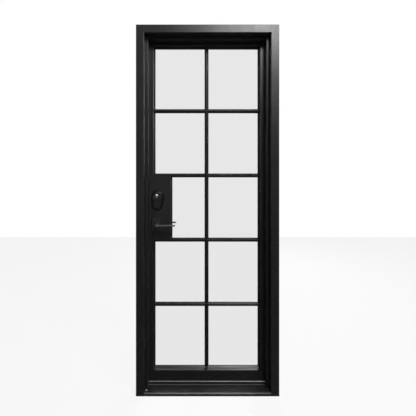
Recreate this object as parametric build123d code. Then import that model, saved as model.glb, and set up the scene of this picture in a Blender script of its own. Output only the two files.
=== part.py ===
"""Single glass door in its steel frame: hollow leaf with ten panes, tube frame, sill, hinges and locks.

Millimetres. +X is to the right seen from outside, +Y goes through the door into the building, +Z is up.
The origin is the middle of the sill's underside, at mid depth of the frame. The leaf opens inwards.
"""

from build123d import *
import os

# Frame of rectangular steel tube with one stop welded on, which leaves a rebate on each side of it
UNIT_WIDTH = 955.0
UNIT_HEIGHT = 2475.0
FACE_WIDTH = 54.0
FRONT_REBATE = 50.0
STOP_HEIGHT = 20.0
SOFFIT_DEPTH = 48.0
FRAME_WALL = 2.0
FRAME_CORNER = 3.0
SEAL_SPACE = 6.0

# Leaf of rolled hollow sections with a glazing fin on the inside
LEAF_THICKNESS = 45.0
LEAF_SIDE_GAP = 3.2
LEAF_HEAD_GAP = 3.2
LEAF_BOTTOM = 30.0
STILE_FACE = 45.0
TOP_RAIL_FACE = 36.6
BOTTOM_RAIL_FACE = 74.0
SECTION_WALL = 2.0
SECTION_CORNER = 1.5
FIN_THICKNESS = 4.0

# Glass, beads and glazing bars
GLASS_THICKNESS = 6.0
GLASS_EDGE_CLEARANCE = 3.0
BEAD_WIDTH = 10.5
BEAD_HEIGHT = 10.0
BEAD_NOSE = 1.5
GLASS_EDGE_CHAMFER = 0.8
BAR_WEB = 7.0
BAR_NOSE_PROUD = 2.0
BAR_TIP_CORNER = 1.2
BAR_PITCH = 459.0
BARS_ABOVE_LEVER = 114.5

# Sill
SILL_HEIGHT = 19.0
SILL_NOSE_HEIGHT = 15.0
SILL_NOSE_DEPTH = 15.0
SILL_WALL = 3.0
SILL_END_CAP = 6.0
SILL_CORNER = 5.0
WEEP_SLOT_LENGTH = 33.0
WEEP_SLOT_WIDTH = 6.0
WEEP_SLOT_X = -41.0
SILL_STOP_FRONT = 83.0
SILL_STOP_HEIGHT = 21.0
SILL_STOP_DEPTH = 17.5
SILL_STOP_FOOT = 5.0
SILL_STOP_WALL = 2.5

# Rubber seals
SEAL_GRIP = 8.0
SEAL_LIP = 6.0
SEAL_CLEARANCE = 0.3
SEAL_CORNER = 2.0
SILL_SEAL_CORNER = 1.0

# Lift-off hinges on the inside face
HINGE_COUNT = 4
LOWEST_HINGE = 230.0
TOP_HINGE_DROP = 255.0
HINGE_BARREL_RADIUS = 9.0
HINGE_BARREL_LENGTH = 52.0
HINGE_PLATE_LENGTH = 40.0
HINGE_PLATE_THICKNESS = 4.0
HINGE_STANDOFF = 0.4
HINGE_PIN_RADIUS = 5.0
HINGE_PIN_RUN = 44.0
HINGE_RUNNING_FIT = 0.05
HINGE_WASHER_THICKNESS = 2.0
HINGE_CAP = 3.0
HINGE_EDGE_ROUND = 1.0
HINGE_PLATE_CORNER = 4.0

# Lock box and the two locks
BACKSET = 75.0
LEVER_HEIGHT = 1126.5
KEY_ABOVE_LEVER = 206.5
LOCK_BOX_WIDTH = 121.0
LATCH_BOLT_RADIUS = 7.5
LATCH_THROW = 12.0
LATCH_TAIL = 48.0
LATCH_BEVEL_FLAT = 4.0
BOLT_CLEARANCE = 0.3
LATCH_CASE_RADIUS = 11.0
HUB_RADIUS = 9.0
HUB_CASE_HEIGHT = 34.0
HUB_CASE_DEPTH = 18.0
HUB_CASE_LENGTH = 36.0
SPINDLE_SIDE = 8.0
DEADBOLT_HEIGHT = 24.0
DEADBOLT_THICKNESS = 14.0
DEADBOLT_THROW = 25.0
DEADBOLT_LENGTH = 54.0
DEADBOLT_CASE_WALL = 2.0
DEADBOLT_TIP_INSET = 0.5
BOLT_EDGE_CHAMFER = 1.0
TAIL_HOLE_RADIUS = 6.0
FACEPLATE_LENGTH = 66.0
FACEPLATE_WIDTH = 25.0
STRIKE_LENGTH = 76.0
STRIKE_WIDTH = 29.0
STRIKE_BOX_WALL = 1.5
STRIKE_BOX_FLANGE = 7.0
STRIKE_HOLE_CLEARANCE = 1.5
STRIKE_CORNER = 3.5
LATCH_END_ROOM = 6.0
DEADBOLT_END_ROOM = 3.0
PLATE_FIT = 0.1
REINFORCEMENT = 2.0
SCREW_RADIUS = 2.0
SCREW_HEAD_RADIUS = 3.8
SCREW_LENGTH = 9.0
SCREW_INSET = 8.0
CUT_OVERRUN = 1.0

# Furniture on the two faces
ROSE_WIDTH = 76.0
ROSE_HEIGHT = 90.0
ROSE_THICKNESS = 8.0
ROSE_CORNER = 6.0
LEVER_REACH = 54.0
LEVER_LENGTH = 125.0
LEVER_BAR_HEIGHT = 10.5
LEVER_BAR_DEPTH = 16.0
LEVER_NECK_RADIUS = 10.5
LEVER_NECK_CLEARANCE = 0.4
LEVER_EDGE = 2.5
LEVER_END_ROUND = 4.0
LEVER_HUB_BITE = 3.0
EGG_TOP_RADIUS = 44.0
EGG_BOTTOM_RADIUS = 37.0
EGG_CENTRES = 55.0
EGG_KEY_DROP = 13.0
EGG_DEPTH = 20.0
EGG_SIDE_TAPER = 8.0
EGG_EDGE = 4.0
EGG_INSIDE_DEPTH = 9.0
KEY_COLLAR_RADIUS = 18.0
KEY_COLLAR_PROUD = 1.5
KEY_COLLAR_RIM = 3.0
KEY_COLLAR_DISH = 3.0
KEY_COLLAR_FLOOR = 2.0
KEY_PLUG_RADIUS = 7.0
KEY_PLUG_FIT = 0.08
KEY_PLUG_LENGTH = 30.0
KEY_PLUG_RECESS = 1.0
KEY_PLUG_CHAMFER = 0.6
KEY_HOLE_CLEARANCE = 1.0
KEYWAY_WIDTH = 1.6
KEYWAY_HEIGHT = 8.0
KEYWAY_DEPTH = 12.0
TURN_BASE_RADIUS = 15.0
TURN_BASE_THICKNESS = 5.0
TURN_BASE_CHAMFER = 1.0
TURN_WING_LENGTH = 36.0
TURN_WING_WIDTH = 8.0
TURN_WING_HEIGHT = 18.0
TURN_WING_ROOT = 24.0
TURN_WING_CORNER = 1.3
TURN_SHAFT_RADIUS = 4.0
TURN_GAP = 0.5

# Sleeves for the wall bolts in the jambs
WALL_BOLT_COUNT = 4
LOWEST_WALL_BOLT = 330.0
TOP_WALL_BOLT_DROP = 195.0
WALL_BOLT_HOLE_RADIUS = 5.5
WALL_SLEEVE_WALL = 2.5

# What follows from the sizes above
FRAME_DEPTH = FRONT_REBATE + SOFFIT_DEPTH + SEAL_SPACE + LEAF_THICKNESS
FRONT = -FRAME_DEPTH / 2
BACK = FRAME_DEPTH / 2
OPENING_HALF = UNIT_WIDTH / 2 - FACE_WIDTH
HEAD_UNDERSIDE = UNIT_HEIGHT - FACE_WIDTH
LEAF_HALF = OPENING_HALF - LEAF_SIDE_GAP
LEAF_TOP = HEAD_UNDERSIDE - LEAF_HEAD_GAP
LEAF_FRONT = BACK - LEAF_THICKNESS
LEAF_MID = BACK - LEAF_THICKNESS / 2
STILE_INNER = LEAF_HALF - STILE_FACE
RAIL_TOP_INNER = LEAF_TOP - TOP_RAIL_FACE
RAIL_BOTTOM_INNER = LEAF_BOTTOM + BOTTOM_RAIL_FACE
FIN_FRONT = LEAF_THICKNESS - FIN_THICKNESS
GLASS_FRONT = FIN_FRONT - GLASS_THICKNESS
BEAD_FRONT = GLASS_FRONT - BEAD_HEIGHT
BAR_FRONT = BEAD_FRONT - BAR_NOSE_PROUD
BARS_MID_HEIGHT = LEVER_HEIGHT + BARS_ABOVE_LEVER
BAR_HEIGHTS = [BARS_MID_HEIGHT + (1.5 - row) * BAR_PITCH for row in range(4)]
KEY_HEIGHT = LEVER_HEIGHT + KEY_ABOVE_LEVER
HUB_X = -LEAF_HALF + BACKSET
LOCK_BOX_EDGE = -STILE_INNER + LOCK_BOX_WIDTH
SILL_STOP_BACK = SILL_STOP_FRONT + SILL_STOP_DEPTH
STOP_EDGE = OPENING_HALF - STOP_HEIGHT
STOP_BACK = FRONT + FRONT_REBATE + SOFFIT_DEPTH
WALL_BOLT_Y = FRONT + FRONT_REBATE + SOFFIT_DEPTH / 2
HINGE_X = OPENING_HALF - LEAF_SIDE_GAP / 2
HINGE_Y = BACK + HINGE_BARREL_RADIUS + HINGE_STANDOFF


def spread(count, lowest, highest):
    """Evenly spaced heights between two of them."""
    return [lowest + step * (highest - lowest) / (count - 1) for step in range(count)]


HINGE_HEIGHTS = spread(HINGE_COUNT, LOWEST_HINGE, UNIT_HEIGHT - TOP_HINGE_DROP)
WALL_BOLT_HEIGHTS = spread(WALL_BOLT_COUNT, LOWEST_WALL_BOLT, UNIT_HEIGHT - TOP_WALL_BOLT_DROP)


def block(x0, x1, y0, y1, z0, z1):
    """Box between two corners."""
    return Pos((x0 + x1) / 2, (y0 + y1) / 2, (z0 + z1) / 2) * Box(x1 - x0, y1 - y0, z1 - z0)


def outline(points):
    """Face on XY with straight edges through the points."""
    return make_face(Polyline(*points, close=True))


def rod(radius, start, length, direction):
    """Solid cylinder from a start point along a direction."""
    return extrude(Plane(start, z_dir=direction) * Circle(radius), length)


def stand_bar(section, edge_x, bottom, top, side):
    """Upright bar: the section's first axis runs in from edge_x. Side is -1 at the left, +1 at the right."""
    bar = extrude(section, top - bottom)
    bar = Pos(0, 0, bottom) * bar
    if side > 0:
        bar = mirror(bar, about=Plane.YZ)
    return Pos(edge_x, 0, 0) * bar


def lay_bar(section, edge_z, half_length, downwards):
    """Level bar along X: the section's first axis runs down from edge_z, or up from it."""
    bar = Pos(0, 0, -half_length) * extrude(section, 2 * half_length)
    return Pos(0, 0, edge_z) * Rot(0, 90 if downwards else -90, 0) * bar


def tube_section():
    """Rectangular tube of the jambs and the head. Axes: in from the outer edge, depth."""
    outer = RectangleRounded(FACE_WIDTH, FRAME_DEPTH, FRAME_CORNER)
    inner = RectangleRounded(
        FACE_WIDTH - 2 * FRAME_WALL, FRAME_DEPTH - 2 * FRAME_WALL, FRAME_CORNER - FRAME_WALL
    )
    return Pos(FACE_WIDTH / 2, 0) * (outer - inner)


def stop_section():
    """Folded channel welded on the tube as the stop, open towards the tube. Axes as for the tube."""
    half = FRAME_WALL / 2
    fold = FilletPolyline(
        (FACE_WIDTH, half),
        (FACE_WIDTH + STOP_HEIGHT - half, half),
        (FACE_WIDTH + STOP_HEIGHT - half, SOFFIT_DEPTH - half),
        (FACE_WIDTH, SOFFIT_DEPTH - half),
        radius=FRAME_CORNER - half,
    )
    return Pos(0, FRONT + FRONT_REBATE) * trace(fold, FRAME_WALL)


def mitre_wedge():
    """Everything above the two 45 degree mitre lines at the top corners."""
    reach = FACE_WIDTH + STOP_HEIGHT + FRAME_WALL
    half = UNIT_WIDTH / 2
    points = [(-half, 0), (half, 0), (half - reach, -reach), (-half + reach, -reach)]
    face = Plane(origin=(0, BACK, UNIT_HEIGHT), z_dir=(0, -1, 0), x_dir=(1, 0, 0)) * outline(points)
    return extrude(face, FRAME_DEPTH)


def sill_envelope(width):
    """The sill's outer form as a full solid, to cut the jamb feet to it."""
    face = outline([
        (FRONT, 0), (BACK, 0), (BACK, SILL_HEIGHT),
        (FRONT + SILL_NOSE_DEPTH, SILL_HEIGHT), (FRONT, SILL_NOSE_HEIGHT),
    ])
    on_end = Plane(origin=(-width / 2, 0, 0), z_dir=(1, 0, 0), x_dir=(0, 1, 0)) * face
    return extrude(on_end, width)


def make_sill():
    """Full-width sill tube: capped ends with rounded bottom corners, two chambers, one weep slot."""
    sill = sill_envelope(UNIT_WIDTH)
    corners = sill.edges().filter_by(Axis.Y).group_by(Axis.Z)[0]
    sill = fillet(corners, SILL_CORNER)
    half = UNIT_WIDTH / 2 - SILL_END_CAP
    chambers = ((FRONT + SILL_NOSE_DEPTH, -SILL_WALL / 2), (SILL_WALL / 2, BACK - SILL_WALL))
    for y0, y1 in chambers:
        sill -= block(-half, half, y0, y1, SILL_WALL, SILL_HEIGHT - SILL_WALL)
    slot_y = FRONT + SILL_NOSE_DEPTH
    slot = block(
        WEEP_SLOT_X - WEEP_SLOT_LENGTH / 2, WEEP_SLOT_X + WEEP_SLOT_LENGTH / 2,
        slot_y - WEEP_SLOT_WIDTH / 2, slot_y + WEEP_SLOT_WIDTH / 2,
        SILL_HEIGHT - SILL_WALL, SILL_HEIGHT + CUT_OVERRUN,
    )
    return sill - slot


def make_sill_stop():
    """Folded stop on the tread between the jambs, with a thin foot in front."""
    inner = SILL_STOP_WALL
    depth, height = SILL_STOP_DEPTH, SILL_STOP_HEIGHT
    face = outline([
        (-SILL_STOP_FOOT, 0), (inner, 0), (inner, height - inner), (depth - inner, height - inner),
        (depth - inner, 0), (depth, 0), (depth, height), (0, height), (0, inner), (-SILL_STOP_FOOT, inner),
    ])
    face = fillet(face.vertices().group_by(Axis.Y)[-1], SECTION_CORNER)
    start = Plane(
        origin=(-STOP_EDGE, FRONT + SILL_STOP_FRONT, SILL_HEIGHT), z_dir=(1, 0, 0), x_dir=(0, 1, 0)
    )
    return extrude(start * face, 2 * STOP_EDGE)


def wall_bolt_rods(side, radius, inner, outer):
    """A rod at each wall bolt of one jamb, between two distances from the middle of the door."""
    starts = [(side * inner, WALL_BOLT_Y, height) for height in WALL_BOLT_HEIGHTS]
    return [rod(radius, start, outer - inner, (side, 0, 0)) for start in starts]


def make_jamb(side):
    """One jamb tube, mitred at the head, its foot cut to the sill, with the holes for sleeves and strikes."""
    jamb = stand_bar(tube_section(), side * UNIT_WIDTH / 2, 0, UNIT_HEIGHT, side)
    jamb = jamb - mitre_wedge() - sill_envelope(2 * UNIT_WIDTH)
    sleeve_radius = WALL_BOLT_HOLE_RADIUS + WALL_SLEEVE_WALL
    jamb -= wall_bolt_rods(side, sleeve_radius, OPENING_HALF, OPENING_HALF + FRAME_WALL)
    jamb -= wall_bolt_rods(side, WALL_BOLT_HOLE_RADIUS, UNIT_WIDTH / 2 - FRAME_WALL, UNIT_WIDTH / 2)
    if side < 0:
        for height in (LEVER_HEIGHT, KEY_HEIGHT):
            jamb -= strike_plate_form(height, PLATE_FIT)
    return jamb


def make_stops():
    """The stop on the two jambs and the head, mitred in the corners, with the holes for the wall bolts."""
    stops = []
    for side in (-1, 1):
        stop = stand_bar(stop_section(), side * UNIT_WIDTH / 2, SILL_HEIGHT, UNIT_HEIGHT, side)
        stop -= mitre_wedge()
        stops.append(stop - wall_bolt_rods(side, WALL_BOLT_HOLE_RADIUS, STOP_EDGE, STOP_EDGE + FRAME_WALL))
    stops.append(lay_bar(stop_section(), UNIT_HEIGHT, UNIT_WIDTH / 2, True) & mitre_wedge())
    return stops


def make_sleeves(side):
    """Sleeves that carry the wall bolts from the stop through the jamb tube."""
    ends = (STOP_EDGE + FRAME_WALL, UNIT_WIDTH / 2 - FRAME_WALL)
    full = wall_bolt_rods(side, WALL_BOLT_HOLE_RADIUS + WALL_SLEEVE_WALL, *ends)
    bores = wall_bolt_rods(side, WALL_BOLT_HOLE_RADIUS, *ends)
    return [sleeve - bore for sleeve, bore in zip(full, bores)]


def seal_section():
    """Rubber seal on the back of the stop: it grips the steel and its lip stands past the stop's edge."""
    stop_edge = FACE_WIDTH + STOP_HEIGHT
    width = SEAL_GRIP + SEAL_LIP
    depth = SEAL_SPACE - SEAL_CLEARANCE
    y = STOP_BACK + depth / 2
    return Pos(stop_edge + SEAL_LIP - width / 2, y) * RectangleRounded(width, depth, SEAL_CORNER)


def make_seal(side):
    """Jamb seal, from the sill to the head seal."""
    top = HEAD_UNDERSIDE - STOP_HEIGHT - SEAL_LIP
    bottom = SILL_HEIGHT + SILL_STOP_HEIGHT + SEAL_LIP
    return stand_bar(seal_section(), side * UNIT_WIDTH / 2, bottom, top, side)


def make_head_seal():
    """Head seal, over the tops of the jamb seals."""
    return lay_bar(seal_section(), UNIT_HEIGHT, STOP_EDGE + SEAL_GRIP, True)


def make_sill_seal():
    """Sill seal on the back of the sill stop, standing past its top edge to the jamb seals."""
    y0 = FRONT + SILL_STOP_BACK
    y1 = LEAF_FRONT - SEAL_CLEARANCE
    z1 = SILL_HEIGHT + SILL_STOP_HEIGHT + SEAL_LIP
    height = SEAL_GRIP + SEAL_LIP
    face = Pos((y0 + y1) / 2, z1 - height / 2) * RectangleRounded(y1 - y0, height, SILL_SEAL_CORNER)
    on_end = Plane(origin=(-STOP_EDGE, 0, 0), z_dir=(1, 0, 0), x_dir=(0, 1, 0)) * face
    return extrude(on_end, 2 * STOP_EDGE)


def leaf_section(face_width):
    """Rolled hollow section with an inside fin for the glass. Axes: in from the edge, depth."""
    depth = LEAF_THICKNESS
    fin_end = face_width + BEAD_WIDTH
    inside_corner = (face_width, FIN_FRONT)
    skin = outline([
        (0, 0), (face_width, 0), inside_corner, (fin_end, FIN_FRONT), (fin_end, depth), (0, depth),
    ])
    rounded = skin.vertices().sort_by_distance(inside_corner)[1:]
    skin = fillet(rounded, SECTION_CORNER)
    hollow_width = face_width - 2 * SECTION_WALL
    hollow_depth = depth - 2 * SECTION_WALL
    hollow = Pos(face_width / 2, depth / 2) * Rectangle(hollow_width, hollow_depth)
    return Pos(0, LEAF_FRONT) * (skin - hollow)


def make_rails():
    """Top and bottom rails between the stiles."""
    top = lay_bar(leaf_section(TOP_RAIL_FACE), LEAF_TOP, STILE_INNER, True)
    bottom = lay_bar(leaf_section(BOTTOM_RAIL_FACE), LEAF_BOTTOM, STILE_INNER, False)
    return top, bottom


def rail_zones():
    """The full height that each rail takes between the stiles, its fin with it."""
    half = STILE_INNER
    low = block(-half, half, LEAF_FRONT, BACK, LEAF_BOTTOM, RAIL_BOTTOM_INNER + BEAD_WIDTH)
    high = block(-half, half, LEAF_FRONT, BACK, RAIL_TOP_INNER - BEAD_WIDTH, LEAF_TOP)
    return low + high


def make_stile(side):
    """One stile, its fin cut away where the rails butt against it, its ends capped."""
    stile = stand_bar(leaf_section(STILE_FACE), side * LEAF_HALF, LEAF_BOTTOM, LEAF_TOP, side)
    x0, x1 = sorted((side * (LEAF_HALF - SECTION_WALL), side * (STILE_INNER + SECTION_WALL)))
    for z0, z1 in ((LEAF_BOTTOM, LEAF_BOTTOM + SECTION_WALL), (LEAF_TOP - SECTION_WALL, LEAF_TOP)):
        stile += block(x0, x1, LEAF_FRONT + SECTION_WALL, BACK - SECTION_WALL, z0, z1)
    stile -= rail_zones()
    if side < 0:
        stile = prepare_for_locks(stile)
    return stile


def prepare_for_locks(stile):
    """Reinforce the lock stile behind both faceplates and cut it for them, the cases and the lock box."""
    x0 = -LEAF_HALF + SECTION_WALL
    for height in (LEVER_HEIGHT, KEY_HEIGHT):
        half_width = FACEPLATE_WIDTH / 2 + STRIKE_BOX_FLANGE
        half_length = FACEPLATE_LENGTH / 2 + STRIKE_BOX_FLANGE
        stile += block(
            x0, x0 + REINFORCEMENT, LEAF_MID - half_width, LEAF_MID + half_width,
            height - half_length, height + half_length,
        )
        stile -= faceplate_form(height, PLATE_FIT)
    stile -= lock_box_zone()
    stile -= rod(LATCH_CASE_RADIUS + PLATE_FIT, (-LEAF_HALF, LEAF_MID, LEVER_HEIGHT), BACKSET, (1, 0, 0))
    half_y = DEADBOLT_THICKNESS / 2 + BOLT_CLEARANCE + DEADBOLT_CASE_WALL + PLATE_FIT
    half_z = DEADBOLT_HEIGHT / 2 + BOLT_CLEARANCE + DEADBOLT_CASE_WALL + PLATE_FIT
    stile -= block(
        -LEAF_HALF, HUB_X, LEAF_MID - half_y, LEAF_MID + half_y, KEY_HEIGHT - half_z, KEY_HEIGHT + half_z
    )
    for height in (LEVER_HEIGHT, KEY_HEIGHT):
        for start in screw_places(height, FACEPLATE_LENGTH):
            stile -= rod(SCREW_RADIUS, (-LEAF_HALF, LEAF_MID, start), SCREW_LENGTH, (1, 0, 0))
    return stile


def lock_box_heights():
    """Bottom and top of the lock box: the webs of the second and third cross bars."""
    return BAR_HEIGHTS[2] + BAR_WEB / 2, BAR_HEIGHTS[1] - BAR_WEB / 2


def lock_box_zone():
    """The space of the lock box between the stile and its right side."""
    low, high = lock_box_heights()
    return block(-STILE_INNER, LOCK_BOX_EDGE, LEAF_FRONT, BACK, low, high)


def make_lock_box():
    """Welded sheet box beside the lock stile, with a fin for the glass on its right side."""
    low, high = lock_box_heights()
    wall = SECTION_WALL
    box = fillet(lock_box_zone().edges().filter_by(Axis.Z).group_by(Axis.X)[-1], SECTION_CORNER)
    box -= block(
        -STILE_INNER, LOCK_BOX_EDGE - wall, LEAF_FRONT + wall, BACK - wall, low + wall, high - wall
    )
    fin_reach = BAR_WEB / 2 + BEAD_WIDTH
    box += block(
        LOCK_BOX_EDGE - wall, LOCK_BOX_EDGE + BEAD_WIDTH, LEAF_FRONT + FIN_FRONT, BACK,
        BAR_HEIGHTS[2] + fin_reach, BAR_HEIGHTS[1] - fin_reach,
    )
    hub_hole = LEVER_NECK_RADIUS + LEVER_NECK_CLEARANCE
    box -= rod(hub_hole, (HUB_X, FRONT, LEVER_HEIGHT), 2 * FRAME_DEPTH, (0, 1, 0))
    key_hole = KEY_PLUG_RADIUS + KEY_HOLE_CLEARANCE
    return box - rod(key_hole, (HUB_X, FRONT, KEY_HEIGHT), 2 * FRAME_DEPTH, (0, 1, 0))


def bar_section(flange_reach):
    """T bar: wide flange on the inside face, web with a softened tip outside. Axes: across, depth."""
    web = Rectangle(BAR_WEB, FIN_FRONT - BAR_FRONT, align=(Align.CENTER, Align.MIN))
    web = fillet(web.vertices().group_by(Axis.Y)[0], BAR_TIP_CORNER)
    flange = Pos(0, FIN_FRONT - BAR_FRONT) * Rectangle(
        2 * flange_reach, FIN_THICKNESS, align=(Align.CENTER, Align.MIN)
    )
    return Pos(0, LEAF_FRONT + BAR_FRONT) * (web + flange)


def make_centre_bar():
    """Upright bar between the rails. Its flange is notched where each cross bar's flange runs through."""
    reach = BAR_WEB / 2 + BEAD_WIDTH
    bar = stand_bar(bar_section(reach), 0, RAIL_BOTTOM_INNER, RAIL_TOP_INNER, -1)
    for height in BAR_HEIGHTS:
        bar -= block(-reach, reach, LEAF_FRONT + FIN_FRONT, BACK, height - reach, height + reach)
    return bar - rail_fins()


def make_cross_bar(row):
    """Level bar between the stiles, its web notched for the upright bar, two of them cut for the lock box."""
    reach = BAR_WEB / 2 + BEAD_WIDTH
    height = BAR_HEIGHTS[row]
    bar = lay_bar(bar_section(reach), height, STILE_INNER, True)
    bar -= block(
        -BAR_WEB / 2, BAR_WEB / 2, LEAF_FRONT, LEAF_FRONT + FIN_FRONT, height - reach, height + reach
    )
    for side in (-1, 1):
        x0, x1 = sorted((side * STILE_INNER, side * (STILE_INNER - BEAD_WIDTH)))
        bar -= block(x0, x1, LEAF_FRONT + FIN_FRONT, BACK, 0, UNIT_HEIGHT)
    if row in (1, 2):
        bar -= lock_box_zone()
    return bar


def rail_fins():
    """The two rail fins, where the upright bar's flange stops."""
    y0 = LEAF_FRONT + FIN_FRONT
    low = block(-STILE_INNER, STILE_INNER, y0, BACK, RAIL_BOTTOM_INNER, RAIL_BOTTOM_INNER + BEAD_WIDTH)
    high = block(-STILE_INNER, STILE_INNER, y0, BACK, RAIL_TOP_INNER - BEAD_WIDTH, RAIL_TOP_INNER)
    return low + high


def pane_openings():
    """Left, right, bottom and top of each glazed opening between sections, by name, from the top row down."""
    half_web = BAR_WEB / 2
    tops = [RAIL_TOP_INNER] + [height - half_web for height in BAR_HEIGHTS]
    bottoms = [height + half_web for height in BAR_HEIGHTS] + [RAIL_BOTTOM_INNER]
    openings = {}
    for row, (bottom, top) in enumerate(zip(bottoms, tops), 1):
        left = LOCK_BOX_EDGE if row == 3 else -STILE_INNER
        openings[f"row{row}_left"] = (left, -half_web, bottom, top)
        openings[f"row{row}_right"] = (half_web, STILE_INNER, bottom, top)
    return openings


def make_pane(left, right, bottom, top):
    """Single pane of safety glass with a clearance round its edge."""
    gap = GLASS_EDGE_CLEARANCE
    y0 = LEAF_FRONT + GLASS_FRONT
    pane = block(left + gap, right - gap, y0, y0 + GLASS_THICKNESS, bottom + gap, top - gap)
    return chamfer(pane.edges().filter_by(Axis.Z), GLASS_EDGE_CHAMFER)


def make_beads(left, right, bottom, top):
    """The four bevelled glazing beads round one pane, mitred: narrow nose, wide at the glass."""
    y0 = LEAF_FRONT + BEAD_FRONT
    y1 = LEAF_FRONT + GLASS_FRONT
    ring = block(left, right, y0, y1, bottom, top)
    mouths = []
    for y, inset in ((y0, BEAD_NOSE), (y1, BEAD_WIDTH)):
        plane = Plane(origin=((left + right) / 2, y, (bottom + top) / 2), z_dir=(0, 1, 0), x_dir=(1, 0, 0))
        mouths.append(plane * Rectangle(right - left - 2 * inset, top - bottom - 2 * inset))
    ring -= loft(mouths)
    outer = ((left, bottom), (right, bottom), (right, top), (left, top))
    cut = BEAD_WIDTH + CUT_OVERRUN
    inner = (
        (left + cut, bottom + cut), (right - cut, bottom + cut),
        (right - cut, top - cut), (left + cut, top - cut),
    )
    front = Plane(origin=(0, y1, 0), z_dir=(0, -1, 0), x_dir=(1, 0, 0))
    beads = []
    for corner in range(4):
        following = (corner + 1) % 4
        zone = outline([outer[corner], outer[following], inner[following], inner[corner]])
        beads.append(ring & extrude(front * zone, BEAD_HEIGHT))
    return beads


def faceplate_form(height, fit):
    """Round-ended plate let into the leaf's edge, or its pocket when fit is the gap round it."""
    plate = SlotOverall(FACEPLATE_LENGTH + 2 * fit, FACEPLATE_WIDTH + 2 * fit)
    plane = Plane(origin=(-LEAF_HALF, LEAF_MID, height), z_dir=(1, 0, 0), x_dir=(0, 0, 1))
    return extrude(plane * plate, SECTION_WALL)


def strike_plate_form(height, fit):
    """Rounded plate let into the jamb's rebate wall, or its pocket when fit is the gap round it."""
    plate = RectangleRounded(STRIKE_LENGTH + 2 * fit, STRIKE_WIDTH + 2 * fit, STRIKE_CORNER)
    plane = Plane(origin=(-OPENING_HALF, LEAF_MID, height), z_dir=(-1, 0, 0), x_dir=(0, 0, 1))
    return extrude(plane * plate, FRAME_WALL)


def screw_places(height, length):
    """Heights of the two screws of a plate of that length."""
    reach = length / 2 - SCREW_INSET
    return height - reach, height + reach


def screw(start, direction):
    """Countersunk screw, its head's face at the start point."""
    head_depth = SCREW_HEAD_RADIUS - SCREW_RADIUS
    plane = Plane(start, z_dir=direction)
    head = Pos(0, 0, head_depth / 2) * Cone(SCREW_HEAD_RADIUS, SCREW_RADIUS, head_depth)
    shank = extrude(Circle(SCREW_RADIUS), SCREW_LENGTH)
    return plane * (head + shank)


def screws_for(edge_x, height, length, direction):
    """The two screws of one plate."""
    return [screw((edge_x, LEAF_MID, z), (direction, 0, 0)) for z in screw_places(height, length)]


def bolt_passage(half_y, half_z, height, x0, x1):
    """Rectangular passage along X."""
    return block(x0, x1, LEAF_MID - half_y, LEAF_MID + half_y, height - half_z, height + half_z)


def make_faceplate(height, passage):
    """Faceplate with the bolt's hole and two screw holes."""
    plate = faceplate_form(height, 0) - passage
    for item in screws_for(-LEAF_HALF, height, FACEPLATE_LENGTH, 1):
        plate -= item
    return plate


def make_strike(height, half_y, half_z):
    """Strike plate with the bolt's hole and two screw holes."""
    plate = strike_plate_form(height, 0)
    plate -= bolt_passage(half_y, half_z, height, -OPENING_HALF - FRAME_WALL, -OPENING_HALF)
    for item in screws_for(-OPENING_HALF, height, STRIKE_LENGTH, -1):
        plate -= item
    return plate


def make_strike_box(height, half_y, half_z, depth):
    """Pressed box behind a strike, with a flange against the back of the jamb sheet that takes the screws."""
    wall = STRIKE_BOX_WALL
    back = -OPENING_HALF - FRAME_WALL
    flange_y = (STRIKE_WIDTH + STRIKE_BOX_FLANGE) / 2
    flange_z = STRIKE_LENGTH / 2 + STRIKE_BOX_FLANGE
    flange = bolt_passage(flange_y, flange_z, height, back - wall, back)
    pan = bolt_passage(half_y + wall, half_z + wall, height, back - depth - wall, back)
    box = flange + pan - bolt_passage(half_y, half_z, height, back - depth, back)
    for z in screw_places(height, STRIKE_LENGTH):
        box -= rod(SCREW_RADIUS, (back, LEAF_MID, z), SCREW_LENGTH, (-1, 0, 0))
    return box


def latch_strike_halves():
    """Half width and half height of the latch strike's hole."""
    half = LATCH_BOLT_RADIUS + STRIKE_HOLE_CLEARANCE
    return half, half


def deadbolt_strike_halves():
    """Half width and half height of the deadbolt strike's hole."""
    return (
        DEADBOLT_THICKNESS / 2 + STRIKE_HOLE_CLEARANCE,
        DEADBOLT_HEIGHT / 2 + STRIKE_HOLE_CLEARANCE,
    )


def make_latch_bolt():
    """Round latch bolt, extended, its outer flank bevelled so that the closing leaf pushes it in."""
    tip = -LEAF_HALF - LATCH_THROW
    length = LATCH_THROW + LATCH_TAIL
    bolt = rod(LATCH_BOLT_RADIUS, (tip, LEAF_MID, LEVER_HEIGHT), length, (1, 0, 0))
    outer = LEAF_MID - LATCH_BOLT_RADIUS
    inner = LEAF_MID + LATCH_BOLT_RADIUS - LATCH_BEVEL_FLAT
    bevel = outline([(tip, outer), (tip + LATCH_THROW, outer), (tip, inner)])
    return bolt - extrude(Pos(0, 0, LEVER_HEIGHT - LATCH_BOLT_RADIUS) * bevel, 2 * LATCH_BOLT_RADIUS)


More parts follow.
